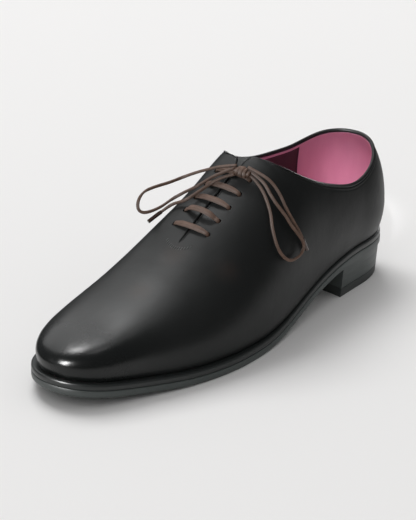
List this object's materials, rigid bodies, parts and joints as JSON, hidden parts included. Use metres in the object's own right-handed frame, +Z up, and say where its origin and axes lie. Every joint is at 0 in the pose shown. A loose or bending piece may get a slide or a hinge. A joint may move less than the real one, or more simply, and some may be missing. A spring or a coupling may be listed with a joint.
{
  "type": "whole cut oxford shoe",
  "caption": "Left lace-up oxford with a seamless one-piece upper, slim pointed toe, welted sole, low stacked heel and thin waxed laces tied in a bow.",
  "frame": {"origin": "on the floor at the middle of the heel's tread", "axes": "+Z up, -Y towards the toe, +X towards the outer side of the wearer's left foot"},
  "size_m": [0.1015, 0.3016, 0.1053],
  "materials": {
    "upper_leather": "polished calf",
    "lining_leather": "smooth unpolished",
    "sole_leather": "dyed and burnished edge",
    "heel_rubber": "matt",
    "lace": "waxed cotton"
  },
  "bodies": {
    "root": {"upper": "upper_leather", "tongue": "upper_leather", "insole": "lining_leather", "welt": "sole_leather", "outsole": "sole_leather", "heel_stack": "sole_leather", "top_lift": "heel_rubber", "lace_bar_1": "lace", "lace_bar_2": "lace", "lace_bar_3": "lace", "lace_bar_4": "lace", "lace_bar_5": "lace", "lace_knot": "lace", "lace_loop_outer": "lace", "lace_loop_inner": "lace", "lace_end_outer": "lace", "lace_end_inner": "lace"}
  },
  "joints": []
}
